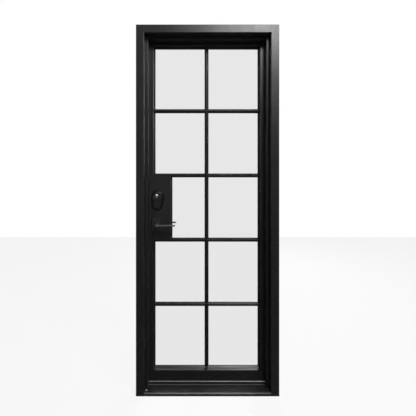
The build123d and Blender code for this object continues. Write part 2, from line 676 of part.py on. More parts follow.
def make_latch_case():
    """Tubular latch: sleeve for the bolt and a housing round the hub that the spindle turns."""
    front = -LEAF_HALF + SECTION_WALL
    hub_start = HUB_X - HUB_CASE_LENGTH / 2
    bolt_end = -LEAF_HALF + LATCH_TAIL + LATCH_THROW + PLATE_FIT
    mouth = (front, LEAF_MID, LEVER_HEIGHT)
    case = rod(LATCH_CASE_RADIUS, mouth, hub_start + SECTION_WALL - front, (1, 0, 0))
    case += block(
        hub_start, hub_start + HUB_CASE_LENGTH,
        LEAF_MID - HUB_CASE_DEPTH / 2, LEAF_MID + HUB_CASE_DEPTH / 2,
        LEVER_HEIGHT - HUB_CASE_HEIGHT / 2, LEVER_HEIGHT + HUB_CASE_HEIGHT / 2,
    )
    case -= rod(LATCH_BOLT_RADIUS + BOLT_CLEARANCE, mouth, bolt_end - front, (1, 0, 0))
    hub_bore = HUB_RADIUS + HINGE_RUNNING_FIT
    return case - rod(hub_bore, (HUB_X, FRONT, LEVER_HEIGHT), 2 * FRAME_DEPTH, (0, 1, 0))


def make_latch_hub():
    """Round hub in the latch case with a square hole for the spindle."""
    hub = rod(HUB_RADIUS, (HUB_X, LEAF_MID - HUB_CASE_DEPTH / 2, LEVER_HEIGHT), HUB_CASE_DEPTH, (0, 1, 0))
    return hub - spindle_form(SPINDLE_SIDE, LEAF_FRONT, BACK)


def spindle_form(side, y0, y1):
    """Square bar along Y on the lever's axis."""
    half = side / 2
    return block(HUB_X - half, HUB_X + half, y0, y1, LEVER_HEIGHT - half, LEVER_HEIGHT + half)


def make_spindle():
    """Square spindle that joins the two levers through the hub."""
    return spindle_form(SPINDLE_SIDE, LEAF_FRONT - LEVER_REACH / 2, BACK + LEVER_REACH / 2)


def make_deadbolt():
    """Rectangular deadbolt, withdrawn, its tip just inside the faceplate."""
    tip = -LEAF_HALF + DEADBOLT_TIP_INSET
    bolt = bolt_passage(DEADBOLT_THICKNESS / 2, DEADBOLT_HEIGHT / 2, KEY_HEIGHT, tip, tip + DEADBOLT_LENGTH)
    return chamfer(bolt.faces().sort_by(Axis.X)[0].edges(), BOLT_EDGE_CHAMFER)


def make_deadbolt_case():
    """Rectangular tube for the deadbolt, closed at the back, with a cross hole for the turning tail."""
    front = -LEAF_HALF + SECTION_WALL
    half_y = DEADBOLT_THICKNESS / 2 + BOLT_CLEARANCE
    half_z = DEADBOLT_HEIGHT / 2 + BOLT_CLEARANCE
    wall = DEADBOLT_CASE_WALL
    back = HUB_X + TAIL_HOLE_RADIUS + 2 * wall
    case = bolt_passage(half_y + wall, half_z + wall, KEY_HEIGHT, front, back)
    case -= bolt_passage(half_y, half_z, KEY_HEIGHT, front, back - wall)
    return case - rod(TAIL_HOLE_RADIUS, (HUB_X, FRONT, KEY_HEIGHT), 2 * FRAME_DEPTH, (0, 1, 0))


def make_rose(face_y, outward):
    """Rounded rectangular rose with a softened rim and a hole for the lever's neck."""
    plane = Plane(origin=(HUB_X, face_y, LEVER_HEIGHT), z_dir=(0, outward, 0), x_dir=(1, 0, 0))
    plate = extrude(plane * RectangleRounded(ROSE_WIDTH, ROSE_HEIGHT, ROSE_CORNER), ROSE_THICKNESS)
    rim = plate.faces().sort_by(Axis.Y)[-1 if outward > 0 else 0]
    plate = fillet(rim.edges(), SECTION_CORNER)
    bore = LEVER_NECK_RADIUS + LEVER_NECK_CLEARANCE
    return plate - rod(bore, (HUB_X, face_y, LEVER_HEIGHT), outward * 2 * ROSE_THICKNESS, (0, 1, 0))


def make_lever(face_y, outward):
    """Straight lever: round neck out of the rose, slim bar with rounded edges pointing away from the jamb."""
    neck_start = face_y + outward * LEVER_HUB_BITE
    bar_mid = face_y + outward * LEVER_REACH
    neck_length = LEVER_REACH - LEVER_HUB_BITE
    neck = rod(LEVER_NECK_RADIUS, (HUB_X, neck_start, LEVER_HEIGHT), neck_length, (0, outward, 0))
    band = LEVER_BAR_HEIGHT / 2
    bar = block(
        HUB_X - LEVER_NECK_RADIUS, HUB_X + LEVER_LENGTH,
        bar_mid - LEVER_BAR_DEPTH / 2, bar_mid + LEVER_BAR_DEPTH / 2,
        LEVER_HEIGHT - band, LEVER_HEIGHT + band,
    )
    bar = fillet(bar.edges().filter_by(Axis.Z), LEVER_END_ROUND)
    bar = fillet(bar.edges().filter_by(lambda e: e.center().Z != LEVER_HEIGHT), LEVER_EDGE)
    y0, y1 = sorted((neck_start, face_y + outward * LEVER_REACH / 2))
    return neck + bar - spindle_form(SPINDLE_SIDE, y0, y1)


def egg_outline(inset):
    """Egg shape, wider above, centred on the key's axis: two arcs joined by tangents, drawn in (x, z)."""
    top = Pos(0, -EGG_KEY_DROP) * Circle(EGG_TOP_RADIUS - inset)
    bottom = Pos(0, -EGG_KEY_DROP - EGG_CENTRES) * Circle(EGG_BOTTOM_RADIUS - inset)
    return make_hull(top.edges() + bottom.edges())


def make_egg(face_y, outward, depth):
    """Egg-shaped lock cover with sloping sides and a rounded rim."""
    x_dir = (1, 0, 0)
    base = Plane(origin=(HUB_X, face_y, KEY_HEIGHT), z_dir=(0, -1, 0), x_dir=x_dir)
    front = Plane(origin=(HUB_X, face_y + outward * depth, KEY_HEIGHT), z_dir=(0, -1, 0), x_dir=x_dir)
    cover = loft([base * egg_outline(0), front * egg_outline(EGG_SIDE_TAPER)])
    rim = cover.faces().sort_by(Axis.Y)[-1 if outward > 0 else 0]
    return fillet(rim.edges(), EGG_EDGE)


def make_lock_cover():
    """Outside cover of the deadbolt, bored for the key collar."""
    cover = make_egg(LEAF_FRONT, -1, EGG_DEPTH)
    return cover - rod(KEY_COLLAR_RADIUS, (HUB_X, LEAF_FRONT, KEY_HEIGHT), 2 * EGG_DEPTH, (0, -1, 0))


def make_key_collar():
    """Collar of the key cylinder: raised rim, dished face, bore for the plug."""
    depth = EGG_DEPTH + KEY_COLLAR_PROUD
    collar = rod(KEY_COLLAR_RADIUS, (HUB_X, LEAF_FRONT, KEY_HEIGHT), depth, (0, -1, 0))
    front = LEAF_FRONT - depth
    dish_plane = Plane((HUB_X, front, KEY_HEIGHT), z_dir=(0, 1, 0))
    dish_radius = KEY_COLLAR_RADIUS - KEY_COLLAR_RIM
    floor_radius = KEY_PLUG_RADIUS + KEY_COLLAR_FLOOR
    dish = Pos(0, 0, KEY_COLLAR_DISH / 2) * Cone(dish_radius, floor_radius, KEY_COLLAR_DISH)
    collar -= dish_plane * dish
    return collar - rod(KEY_PLUG_RADIUS + KEY_PLUG_FIT, (HUB_X, front, KEY_HEIGHT), 2 * depth, (0, 1, 0))


def make_key_plug():
    """Plug of the key cylinder, standing a little out of the dish, with its keyway."""
    front = LEAF_FRONT - EGG_DEPTH - KEY_COLLAR_PROUD + KEY_PLUG_RECESS
    plug = rod(KEY_PLUG_RADIUS, (HUB_X, front, KEY_HEIGHT), KEY_PLUG_LENGTH, (0, 1, 0))
    plug = chamfer(plug.faces().sort_by(Axis.Y)[0].edges(), KEY_PLUG_CHAMFER)
    half = KEYWAY_WIDTH / 2
    keyway = block(
        HUB_X - half, HUB_X + half, front, front + KEYWAY_DEPTH,
        KEY_HEIGHT - KEYWAY_HEIGHT / 2, KEY_HEIGHT + KEYWAY_HEIGHT / 2,
    )
    return plug - keyway


def make_turn_plate():
    """Inside cover of the deadbolt, the same egg shape but thin, bored for the thumb turn's shaft."""
    plate = make_egg(BACK, 1, EGG_INSIDE_DEPTH)
    bore = TURN_SHAFT_RADIUS + TURN_GAP
    return plate - rod(bore, (HUB_X, BACK, KEY_HEIGHT), EGG_INSIDE_DEPTH, (0, 1, 0))


def make_thumb_turn():
    """Thumb turn: round base, tapered wing lying upright when withdrawn, shaft through to the bolt's tail."""
    base_y = BACK + EGG_INSIDE_DEPTH + TURN_GAP
    base = rod(TURN_BASE_RADIUS, (HUB_X, base_y, KEY_HEIGHT), TURN_BASE_THICKNESS, (0, 1, 0))
    base = chamfer(base.faces().sort_by(Axis.Y)[-1].edges(), TURN_BASE_CHAMFER)
    wing_y = base_y + TURN_BASE_THICKNESS
    root = Plane((HUB_X, wing_y - TURN_BASE_CHAMFER, KEY_HEIGHT), z_dir=(0, 1, 0), x_dir=(1, 0, 0))
    tip = Plane((HUB_X, wing_y + TURN_WING_HEIGHT, KEY_HEIGHT), z_dir=(0, 1, 0), x_dir=(1, 0, 0))
    narrow = TURN_WING_WIDTH / 2
    wing = loft([
        root * RectangleRounded(TURN_WING_WIDTH, TURN_WING_ROOT, TURN_WING_CORNER),
        tip * RectangleRounded(narrow, TURN_WING_LENGTH, TURN_WING_CORNER),
    ])
    shaft = rod(TURN_SHAFT_RADIUS, (HUB_X, LEAF_MID, KEY_HEIGHT), wing_y - LEAF_MID, (0, 1, 0))
    return base + wing + shaft


def hinge_barrel(height, on_leaf):
    """One half of a lift-off hinge: barrel and plate, on the frame below or on the leaf above the washer."""
    washer = HINGE_WASHER_THICKNESS / 2
    bottom = height + washer if on_leaf else height - washer - HINGE_BARREL_LENGTH
    side = -1 if on_leaf else 1
    barrel = rod(HINGE_BARREL_RADIUS, (HINGE_X, HINGE_Y, bottom), HINGE_BARREL_LENGTH, (0, 0, 1))
    end = barrel.faces().sort_by(Axis.Z)[-1 if on_leaf else 0]
    barrel = fillet(end.edges(), HINGE_EDGE_ROUND)
    x0, x1 = sorted((HINGE_X, HINGE_X + side * HINGE_PLATE_LENGTH))
    plate = block(x0, x1, BACK, BACK + HINGE_PLATE_THICKNESS, bottom, bottom + HINGE_BARREL_LENGTH)
    outer = plate.edges().filter_by(Axis.Y).group_by(Axis.X)[0 if on_leaf else -1]
    plate = fillet(outer, HINGE_PLATE_CORNER)
    half = barrel + plate
    if on_leaf:
        radius = HINGE_PIN_RADIUS + HINGE_RUNNING_FIT
        return half - rod(radius, (HINGE_X, HINGE_Y, bottom), HINGE_PIN_RUN + CUT_OVERRUN, (0, 0, 1))
    start = (HINGE_X, HINGE_Y, bottom + HINGE_CAP)
    return half - rod(HINGE_PIN_RADIUS, start, HINGE_BARREL_LENGTH, (0, 0, 1))


def hinge_pin(height):
    """Pin pressed into the lower barrel, its upper end rounded for the leaf barrel."""
    washer = HINGE_WASHER_THICKNESS / 2
    bottom = height - washer - HINGE_BARREL_LENGTH + HINGE_CAP
    length = height + washer + HINGE_PIN_RUN - bottom
    pin = rod(HINGE_PIN_RADIUS, (HINGE_X, HINGE_Y, bottom), length, (0, 0, 1))
    return fillet(pin.faces().sort_by(Axis.Z)[-1].edges(), HINGE_EDGE_ROUND)


def hinge_washer(height):
    """Bearing washer between the two barrels."""
    bottom = height - HINGE_WASHER_THICKNESS / 2
    washer = rod(HINGE_BARREL_RADIUS, (HINGE_X, HINGE_Y, bottom), HINGE_WASHER_THICKNESS, (0, 0, 1))
    return washer - rod(HINGE_PIN_RADIUS, (HINGE_X, HINGE_Y, bottom), HINGE_WASHER_THICKNESS, (0, 0, 1))


def frame_parts():
    """Every piece that stays with the wall."""
    head = lay_bar(tube_section(), UNIT_HEIGHT, UNIT_WIDTH / 2, True) & mitre_wedge()
    latch_halves = latch_strike_halves()
    bolt_halves = deadbolt_strike_halves()
    parts = {
        "jamb_lock_side": make_jamb(-1),
        "jamb_hinge_side": make_jamb(1),
        "head": head,
        "frame_stops": make_stops(),
        "sill": make_sill(),
        "sill_stop": make_sill_stop(),
        "seal_lock_side": make_seal(-1),
        "seal_hinge_side": make_seal(1),
        "seal_head": make_head_seal(),
        "seal_sill": make_sill_seal(),
        "wall_sleeves_lock_side": make_sleeves(-1),
        "wall_sleeves_hinge_side": make_sleeves(1),
        "latch_strike": make_strike(LEVER_HEIGHT, *latch_halves),
        "deadbolt_strike": make_strike(KEY_HEIGHT, *bolt_halves),
        "strike_boxes": [
            make_strike_box(LEVER_HEIGHT, *latch_halves, LATCH_THROW + LATCH_END_ROOM),
            make_strike_box(KEY_HEIGHT, *bolt_halves, DEADBOLT_THROW + DEADBOLT_END_ROOM),
        ],
        "strike_screws": screws_for(-OPENING_HALF, LEVER_HEIGHT, STRIKE_LENGTH, -1)
        + screws_for(-OPENING_HALF, KEY_HEIGHT, STRIKE_LENGTH, -1),
        "hinge_pins": [hinge_pin(height) for height in HINGE_HEIGHTS],
        "hinge_washers": [hinge_washer(height) for height in HINGE_HEIGHTS],
        "frame_hinge_barrels": [hinge_barrel(height, False) for height in HINGE_HEIGHTS],
    }
    return parts


def leaf_parts():
    """Every piece that swings with the leaf, the lock's moving pieces with it."""
    top_rail, bottom_rail = make_rails()
    latch_start = (-LEAF_HALF, LEAF_MID, LEVER_HEIGHT)
    latch_hole = rod(LATCH_BOLT_RADIUS + BOLT_CLEARANCE, latch_start, SECTION_WALL, (1, 0, 0))
    bolt_hole = bolt_passage(
        DEADBOLT_THICKNESS / 2 + BOLT_CLEARANCE, DEADBOLT_HEIGHT / 2 + BOLT_CLEARANCE, KEY_HEIGHT,
        -LEAF_HALF, -LEAF_HALF + SECTION_WALL,
    )
    parts = {
        "lock_stile": make_stile(-1),
        "hinge_stile": make_stile(1),
        "top_rail": top_rail,
        "bottom_rail": bottom_rail,
        "centre_bar": make_centre_bar(),
        "lock_box": make_lock_box(),
        "latch_faceplate": make_faceplate(LEVER_HEIGHT, latch_hole),
        "deadbolt_faceplate": make_faceplate(KEY_HEIGHT, bolt_hole),
        "faceplate_screws": screws_for(-LEAF_HALF, LEVER_HEIGHT, FACEPLATE_LENGTH, 1)
        + screws_for(-LEAF_HALF, KEY_HEIGHT, FACEPLATE_LENGTH, 1),
        "latch_case": make_latch_case(),
        "latch_hub": make_latch_hub(),
        "latch_bolt": make_latch_bolt(),
        "deadbolt_case": make_deadbolt_case(),
        "deadbolt": make_deadbolt(),
        "outside_rose": make_rose(LEAF_FRONT, -1),
        "inside_rose": make_rose(BACK, 1),
        "outside_lever": make_lever(LEAF_FRONT, -1),
        "inside_lever": make_lever(BACK, 1),
        "spindle": make_spindle(),
        "lock_cover": make_lock_cover(),
        "key_collar": make_key_collar(),
        "key_plug": make_key_plug(),
        "thumb_turn_plate": make_turn_plate(),
        "thumb_turn": make_thumb_turn(),
    }
    for row in range(4):
        parts[f"cross_bar_{row + 1}"] = make_cross_bar(row)
    beads = []
    for name, opening in pane_openings().items():
        parts[f"glass_{name}"] = make_pane(*opening)
        beads += make_beads(*opening)
    parts["glazing_beads"] = beads
    parts["leaf_hinge_barrels"] = [hinge_barrel(height, True) for height in HINGE_HEIGHTS]
    return parts


def write(name, made):
    """One STEP file for each node: a single solid, or a group of like solids."""
    solids = made if isinstance(made, list) else [made]
    shape = Compound(children=[s for item in solids for s in item.solids()])
    export_step(shape, f"parts/{name}.step")


os.makedirs("parts", exist_ok=True)
for node, made in {**frame_parts(), **leaf_parts()}.items():
    write(node, made)
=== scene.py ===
"""Looks of the glass door and its frame.

Black satin paint, clear glass, rubber, steel and bronze go on the CAD nodes, which stand in a pale studio.
"""

import math

import bpy
import numpy as np
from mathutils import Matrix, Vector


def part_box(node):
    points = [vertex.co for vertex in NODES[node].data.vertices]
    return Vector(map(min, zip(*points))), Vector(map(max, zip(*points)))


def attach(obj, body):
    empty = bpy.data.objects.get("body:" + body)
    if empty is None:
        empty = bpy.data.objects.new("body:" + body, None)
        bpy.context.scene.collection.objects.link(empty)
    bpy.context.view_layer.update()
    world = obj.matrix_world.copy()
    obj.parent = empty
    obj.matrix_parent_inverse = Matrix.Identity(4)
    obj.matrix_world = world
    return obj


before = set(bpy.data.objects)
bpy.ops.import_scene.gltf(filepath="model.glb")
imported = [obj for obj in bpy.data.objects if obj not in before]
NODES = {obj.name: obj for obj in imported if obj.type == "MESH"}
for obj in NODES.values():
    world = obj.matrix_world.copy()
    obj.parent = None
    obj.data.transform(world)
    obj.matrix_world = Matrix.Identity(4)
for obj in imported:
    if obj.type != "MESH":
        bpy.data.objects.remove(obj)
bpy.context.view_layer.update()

# Places on the sill, in metres: the front of its nose, its tread, and the face and the top of the stop on it.
# The stop's box starts at the tip of its foot, which stands in front of its face.
STOP_FOOT = 0.005
SILL_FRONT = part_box("sill")[0][1]
TREAD_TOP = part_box("sill")[1][2]
STOP_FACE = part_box("sill_stop")[0][1] + STOP_FOOT
STOP_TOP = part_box("sill_stop")[1][2]


def put(tree, value, socket):
    """Feeds a socket with another socket's output, or with a number, a vector or a colour."""
    if isinstance(value, bpy.types.NodeSocket):
        tree.links.new(value, socket)
    elif socket.type == "RGBA":
        socket.default_value = (*value, 1.0)
    else:
        socket.default_value = value


def new_material(name, kind="ShaderNodeBsdfPrincipled"):
    """A node material with one shader. Returns the material, its tree and the shader."""
    material = bpy.data.materials.new(name)
    material.use_nodes = True
    tree = material.node_tree
    tree.nodes.clear()
    output = tree.nodes.new("ShaderNodeOutputMaterial")
    shader = tree.nodes.new(kind)
    tree.links.new(shader.outputs["BSDF"], output.inputs["Surface"])
    return material, tree, shader


def mix_shaders(tree, factor, shader, other):
    """The material shows the other shader by a factor, and its own shader for the rest."""
    mix = tree.nodes.new("ShaderNodeMixShader")
    tree.links.new(factor, mix.inputs[0])
    tree.links.new(shader.outputs[0], mix.inputs[1])
    tree.links.new(other.outputs[0], mix.inputs[2])
    tree.links.new(mix.outputs[0], tree.nodes["Material Output"].inputs["Surface"])


def position(tree):
    """Object coordinates, in metres."""
    return tree.nodes.new("ShaderNodeTexCoord").outputs["Object"]


def stretched(tree, place, factors):
    """Coordinates scaled by a factor on each axis."""
    node = tree.nodes.new("ShaderNodeVectorMath")
    node.operation = "MULTIPLY"
    put(tree, place, node.inputs[0])
    put(tree, factors, node.inputs[1])
    return node.outputs[0]


def noise(tree, place, scale, detail, roughness=0.55):
    """Noise value at a scale per metre."""
    node = tree.nodes.new("ShaderNodeTexNoise")
    for key, value in (("Vector", place), ("Scale", scale), ("Detail", detail), ("Roughness", roughness)):
        put(tree, value, node.inputs[key])
    return node.outputs["Fac"]


def remap(tree, value, low, high, to_low, to_high):
    """Value from low..high to to_low..to_high, held at the ends."""
    node = tree.nodes.new("ShaderNodeMapRange")
    keys = ("Value", "From Min", "From Max", "To Min", "To Max")
    for key, item in zip(keys, (value, low, high, to_low, to_high)):
        put(tree, item, node.inputs[key])
    return node.outputs["Result"]


def between(tree, value, outside, inside):
    """0 at the outside number, 1 from the inside number on, with an even rise between them."""
    return remap(tree, value, outside, inside, 0.0, 1.0)


def math_node(tree, operation, first, second):
    """Two values, or a value and a number, put through one operation."""
    node = tree.nodes.new("ShaderNodeMath")
    node.operation = operation
    put(tree, first, node.inputs[0])
    put(tree, second, node.inputs[1])
    return node.outputs[0]


def mix_colours(tree, factor, first, second):
    """Colour between two colours by a factor."""
    node = tree.nodes.new("ShaderNodeMix")
    node.data_type = "RGBA"
    tree.links.new(factor, node.inputs[0])
    put(tree, first, node.inputs[6])
    put(tree, second, node.inputs[7])
    return node.outputs[2]


def bump(tree, shader, height, distance, strength):
    """Surface relief from a height value, the distance in metres."""
    node = tree.nodes.new("ShaderNodeBump")
    node.inputs["Strength"].default_value = strength
    node.inputs["Distance"].default_value = distance
    tree.links.new(height, node.inputs["Height"])
    tree.links.new(node.outputs["Normal"], shader.inputs["Normal"])


def new_group(name, vectors, colours, numbers, outputs):
    """An empty node group with named sockets. Returns the group, its inputs and its outputs."""
    group = bpy.data.node_groups.new(name, "ShaderNodeTree")
    for kind, labels in (("Vector", vectors), ("Color", colours), ("Float", numbers)):
        for label in labels:
            group.interface.new_socket(name=label, in_out="INPUT", socket_type=f"NodeSocket{kind}")
    for label in outputs:
        kind = "Color" if label == "Colour" else "Float"
        group.interface.new_socket(name=label, in_out="OUTPUT", socket_type=f"NodeSocket{kind}")
    given = group.nodes.new("NodeGroupInput").outputs
    result = group.nodes.new("NodeGroupOutput").inputs
    return group, given, result


def use_group(tree, group, values):
    """A group placed in a material with its own values. Returns the outputs."""
    node = tree.nodes.new("ShaderNodeGroup")
    node.node_tree = group
    tree.links.new(position(tree), node.inputs["Position"])
    for label, value in values.items():
        put(tree, value, node.inputs[label])
    return node.outputs


def sprayed_paint_group():
    """Sprayed satin paint: fine orange peel, soft cloudiness, a little dust and faint rubbed marks."""
    outputs = ("Colour", "Roughness", "Relief")
    group, given, result = new_group(
        "sprayed_paint", ("Position",), ("Paint", "Rubbed"), ("Gloss", "Peel"), outputs
    )
    place = given["Position"]
    cloud = noise(group, place, 7.0, 5.0)
    marks = noise(group, stretched(group, place, (60.0, 60.0, 9.0)), 1.0, 6.0, 0.7)
    rubbed = remap(group, marks, 0.45, 0.8, 0.3, 1.0)
    shade = math_node(group, "MULTIPLY", between(group, cloud, 0.3, 0.7), rubbed)
    put(group, mix_colours(group, shade, given["Paint"], given["Rubbed"]), result["Colour"])
    marked = remap(group, marks, 0.35, 0.75, -0.04, 0.06)
    clouded = remap(group, cloud, 0.3, 0.7, -0.02, 0.02)
    uneven = math_node(group, "ADD", marked, clouded)
    put(group, math_node(group, "ADD", given["Gloss"], uneven), result["Roughness"])
    grain = math_node(group, "MULTIPLY", noise(group, place, 420.0, 2.0), 0.25)
    put(group, math_node(group, "ADD", noise(group, place, given["Peel"], 3.0), grain), result["Relief"])
    return group


def drawn_metal_group():
    """Bare metal: fine drawn or turned lines, stretched by the factors of Lines, and dull patches."""
    outputs = ("Colour", "Roughness", "Relief")
    group, given, result = new_group(
        "drawn_metal", ("Position", "Lines"), ("Bright", "Dull"), ("Gloss",), outputs
    )
    brushed = noise(group, stretched(group, given["Position"], given["Lines"]), 1.0, 4.0, 0.6)
    patches = noise(group, given["Position"], 35.0, 5.0, 0.6)
    shade = between(group, patches, 0.4, 0.7)
    put(group, mix_colours(group, shade, given["Bright"], given["Dull"]), result["Colour"])
    lined = remap(group, brushed, 0.3, 0.7, -0.06, 0.08)
    dulled = remap(group, patches, 0.4, 0.7, 0.0, 0.1)
    uneven = math_node(group, "ADD", lined, dulled)
    put(group, math_node(group, "ADD", given["Gloss"], uneven), result["Roughness"])
    put(group, brushed, result["Relief"])
    return group


def dust_group():
    """Dust in soft clouds. Film is 0 where the cloud's value is under Clear and 1 where it is over Full."""
    group, given, result = new_group(
        "dust", ("Position",), (), ("Scale", "Roughness", "Clear", "Full"), ("Cloud", "Film")
    )
    cloud = noise(group, given["Position"], given["Scale"], 6.0, given["Roughness"])
    put(group, cloud, result["Cloud"])
    put(group, between(group, cloud, given["Clear"], given["Full"]), result["Film"])
    return group


SPRAYED_PAINT = sprayed_paint_group()
DRAWN_METAL = drawn_metal_group()
DUST = dust_group()


def painted(name, paint, rubbed, gloss, peel):
    """Satin paint. Gloss is its roughness, and peel the scale of its orange peel per metre."""
    material, tree, shader = new_material(name)
    film = use_group(tree, SPRAYED_PAINT, {"Paint": paint, "Rubbed": rubbed, "Gloss": gloss, "Peel": peel})
    tree.links.new(film["Colour"], shader.inputs["Base Color"])
    tree.links.new(film["Roughness"], shader.inputs["Roughness"])
    shader.inputs["IOR"].default_value = 1.5
    bump(tree, shader, film["Relief"], 0.00004, 0.5)
    return material


def metal(name, bright, dull, gloss, direction):
    """Bare metal. Gloss is its roughness, and direction the axis that its lines run along."""
    across, along = 900.0, 15.0
    lines = [across, across, across]
    lines[direction] = along
    material, tree, shader = new_material(name)
    face = use_group(tree, DRAWN_METAL, {"Bright": bright, "Dull": dull, "Gloss": gloss, "Lines": lines})
    tree.links.new(face["Colour"], shader.inputs["Base Color"])
    tree.links.new(face["Roughness"], shader.inputs["Roughness"])
    shader.inputs["Metallic"].default_value = 1.0
    bump(tree, shader, face["Relief"], 0.00003, 0.6)
    return material


def sill_paint(name, paint, dusty, highlight_colour):
    """Paint of the sill with light dust on its tread, and painted highlights: pale metallic bands on its nose
    and on the stop's upper edge, and a band in the dust colour on the stop's foot.
    """
    nose_highlight_share, tread_dust, highlight_metallic = 0.27, 0.08, 0.7
    material, tree, shader = new_material(name)
    place = position(tree)
    split = tree.nodes.new("ShaderNodeSeparateXYZ")
    tree.links.new(place, split.inputs[0])

    def front_top(back, front, bottom, top):
        """1 in front of one depth and above one height, with a soft start from the other depth and height."""
        in_front = between(tree, split.outputs["Y"], back, front)
        above = between(tree, split.outputs["Z"], bottom, top)
        return math_node(tree, "MULTIPLY", in_front, above)

    # Painted highlights: the nose and the stop's upper edge get a pale metal colour, and the stop's foot gets
    # the dust colour.
    nose = front_top(SILL_FRONT + 0.0105, SILL_FRONT + 0.0070, TREAD_TOP - 0.0044, TREAD_TOP - 0.0039)
    edge = front_top(STOP_FACE + 0.0070, STOP_FACE + 0.0035, STOP_TOP - 0.0028, STOP_TOP - 0.0014)
    foot = front_top(STOP_FACE - 0.0001, STOP_FACE - 0.0007, TREAD_TOP + 0.0010, TREAD_TOP + 0.0022)
    marks = noise(tree, stretched(tree, place, (9.0, 120.0, 120.0)), 1.0, 6.0, 0.7)
    # Painted highlight on the nose and on the stop's upper edge, a little uneven along its length by the
    # marks.
    painted_highlight = math_node(tree, "MAXIMUM", math_node(tree, "MULTIPLY", nose, nose_highlight_share), edge)
    painted_highlight = math_node(tree, "MULTIPLY", painted_highlight, remap(tree, marks, 0.3, 0.7, 0.75, 1.0))
    tread = use_group(tree, DUST, {"Scale": 14.0, "Roughness": 0.65, "Clear": 0.35, "Full": 0.7})
    # Real dust in soft clouds on the tread, plus the dust colour on the stop's foot as a painted highlight.
    dust = math_node(tree, "MAXIMUM", math_node(tree, "MULTIPLY", tread["Film"], tread_dust), foot)
    colour = mix_colours(tree, painted_highlight, mix_colours(tree, dust, paint, dusty), highlight_colour)
    tree.links.new(colour, shader.inputs["Base Color"])
    # The painted highlights on the nose and on the stop's edge are partly metallic.
    tree.links.new(math_node(tree, "MULTIPLY", painted_highlight, highlight_metallic), shader.inputs["Metallic"])
    dull = math_node(tree, "MULTIPLY", dust, 0.3)
    rough = math_node(tree, "ADD", remap(tree, marks, 0.35, 0.75, 0.32, 0.42), dull)
    tree.links.new(rough, shader.inputs["Roughness"])
    scuffs = math_node(tree, "MULTIPLY", marks, 0.6)
    relief = math_node(tree, "ADD", noise(tree, place, 180.0, 3.0), scuffs)
    bump(tree, shader, relief, 0.00006, 0.5)
    return material


def rubber(name, clean, dusty):
    """Extruded rubber: dark, dull, with a fine grain and a little dust."""
    material, tree, shader = new_material(name)
    dust = use_group(tree, DUST, {"Scale": 60.0, "Roughness": 0.7, "Clear": 0.5, "Full": 0.75})
    tree.links.new(mix_colours(tree, dust["Film"], clean, dusty), shader.inputs["Base Color"])
    tree.links.new(remap(tree, dust["Cloud"], 0.3, 0.7, 0.55, 0.8), shader.inputs["Roughness"])
    bump(tree, shader, noise(tree, position(tree), 700.0, 3.0), 0.0001, 0.7)
    return material


def clear_glass(name, tint, light_through):
    """Safety glass, faintly uneven, with a thin film of dust in soft patches. Light falls through it."""
    material, tree, shader = new_material(name)
    put(tree, tint, shader.inputs["Base Color"])
    shader.inputs["Transmission Weight"].default_value = 1.0
    shader.inputs["IOR"].default_value = 1.5
    haze = use_group(tree, DUST, {"Scale": 9.0, "Roughness": 0.65, "Clear": 0.4, "Full": 0.75})
    tree.links.new(math_node(tree, "MULTIPLY", haze["Film"], 0.03), shader.inputs["Roughness"])
    bump(tree, shader, noise(tree, position(tree), 3.0, 2.0), 0.0004, 0.15)
    through = tree.nodes.new("ShaderNodeBsdfTransparent")
    put(tree, light_through, through.inputs["Color"])
    path = tree.nodes.new("ShaderNodeLightPath")
    mix_shaders(tree, path.outputs["Is Shadow Ray"], shader, through)
    return material


ALONG_X, ALONG_Y, ALONG_Z = 0, 1, 2

FRAME_PAINT = painted("frame_black_paint", (0.013, 0.013, 0.014), (0.02, 0.02, 0.021), 0.38, 260.0)
LEAF_PAINT = painted("leaf_black_paint", (0.012, 0.012, 0.013), (0.018, 0.018, 0.019), 0.36, 300.0)
# The sill's paint has painted highlights on its nose, on the stop's upper edge and on the stop's foot.
SILL_PAINT = sill_paint("sill_paint_painted_highlights", (0.014, 0.014, 0.014), (0.17, 0.165, 0.155), (0.6, 0.59, 0.57))
HARDWARE = painted("hardware_black_coating", (0.018, 0.018, 0.019), (0.035, 0.035, 0.039), 0.3, 700.0)
LEVER_METAL = metal("lever_gunmetal", (0.3, 0.3, 0.31), (0.2, 0.2, 0.21), 0.42, ALONG_X)
COVER_METAL = metal("lock_cover_gunmetal", (0.07, 0.07, 0.075), (0.05, 0.05, 0.055), 0.36, ALONG_Z)
LOCK_STEEL = metal("bright_lock_steel", (0.62, 0.62, 0.6), (0.45, 0.44, 0.42), 0.28, ALONG_Z)
ZINC_STEEL = metal("zinc_steel", (0.55, 0.55, 0.54), (0.42, 0.41, 0.38), 0.35, ALONG_X)
KEY_FACE = metal("nickel_key_face", (0.95, 0.94, 0.92), (0.85, 0.84, 0.82), 0.2, ALONG_Y)
BRONZE = metal("bearing_bronze", (0.55, 0.34, 0.17), (0.38, 0.22, 0.11), 0.35, ALONG_Z)
SCREW_STEEL = metal("worn_screw_steel", (0.75, 0.74, 0.71), (0.5, 0.49, 0.46), 0.5, ALONG_Z)
RUBBER = rubber("black_seal_rubber", (0.008, 0.008, 0.008), (0.02, 0.019, 0.018))
GLASS = clear_glass("clear_safety_glass", (0.86, 0.86, 0.86), (0.8, 0.8, 0.8))

